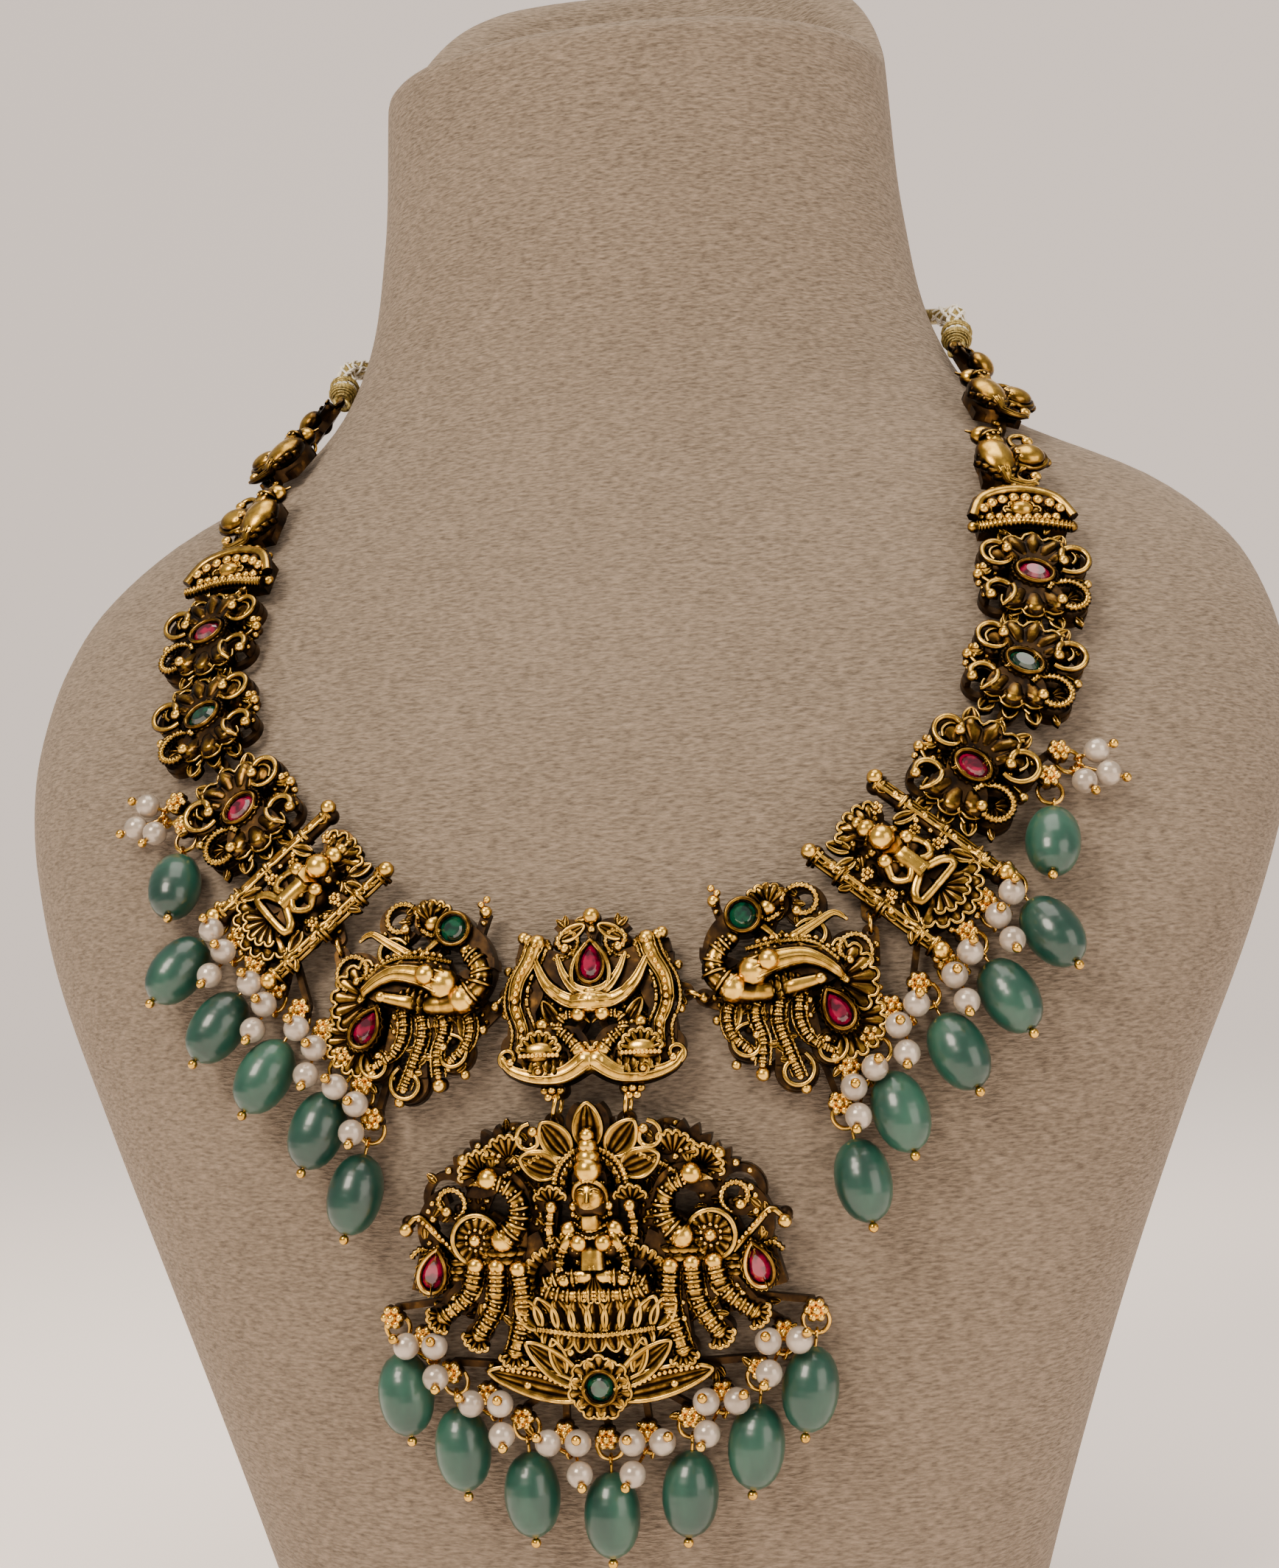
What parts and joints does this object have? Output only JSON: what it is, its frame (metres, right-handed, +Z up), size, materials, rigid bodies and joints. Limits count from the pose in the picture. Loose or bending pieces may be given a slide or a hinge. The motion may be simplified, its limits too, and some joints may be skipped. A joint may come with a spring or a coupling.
{
  "type": "temple jewellery necklace on neck bust",
  "caption": "Antique-gold temple necklace of cast peacock, figure and flower links with a goddess pendant, green bead drops and pearls, on a plain velvet neck bust.",
  "frame": {"origin": "centre of the bust's base on its underside", "axes": "+Z up, +X to the viewer's right, -Y the front of the bust"},
  "size_m": [0.2262, 0.1332, 0.3186],
  "materials": {
    "velvet": "beige-taupe short-pile velvet",
    "antique_gold": "antique gold plate, dark in the recesses",
    "bright_gold": "bright gold plate wire",
    "gold_thread": "wound gold and white thread",
    "ruby": "magenta-red cut stone",
    "emerald": "deep green cut stone",
    "green_stone": "smooth green stone with pale streaks",
    "pearl": "cream pearl lustre"
  },
  "bodies": {
    "root": {"neck_bust": "velvet", "cord": "gold_thread", "slider": "antique_gold", "centre_link": "antique_gold", "pendant": "antique_gold", "pendant_rings": "bright_gold", "link_rings": "bright_gold", "drop_rings": "bright_gold", "rubies": "ruby", "emeralds": "emerald", "pearls_pendant": "pearl", "drop_pins_pendant": "bright_gold", "thread_cap_left": "gold_thread", "peacock_link_left": "antique_gold", "figure_link_left": "antique_gold", "crown_link_left": "antique_gold", "end_link_left": "antique_gold", "pearls_left": "pearl", "drop_pins_left": "bright_gold", "flower_link_left_1": "antique_gold", "flower_link_left_2": "antique_gold", "flower_link_left_3": "antique_gold", "bird_link_left_1": "antique_gold", "bird_link_left_2": "antique_gold", "green_bead_left_1": "green_stone", "green_bead_left_2": "green_stone", "green_bead_left_3": "green_stone", "green_bead_left_4": "green_stone", "green_bead_left_5": "green_stone", "green_bead_left_6": "green_stone", "thread_cap_right": "gold_thread", "peacock_link_right": "antique_gold", "figure_link_right": "antique_gold", "crown_link_right": "antique_gold", "end_link_right": "antique_gold", "pearls_right": "pearl", "drop_pins_right": "bright_gold", "flower_link_right_1": "antique_gold", "flower_link_right_2": "antique_gold", "flower_link_right_3": "antique_gold", "bird_link_right_1": "antique_gold", "bird_link_right_2": "antique_gold", "green_bead_right_1": "green_stone", "green_bead_right_2": "green_stone", "green_bead_right_3": "green_stone", "green_bead_right_4": "green_stone", "green_bead_right_5": "green_stone", "green_bead_right_6": "green_stone", "green_bead_pendant_1": "green_stone", "green_bead_pendant_2": "green_stone", "green_bead_pendant_3": "green_stone", "green_bead_pendant_4": "green_stone", "green_bead_pendant_5": "green_stone", "green_bead_pendant_6": "green_stone", "green_bead_pendant_7": "green_stone"}
  },
  "joints": []
}
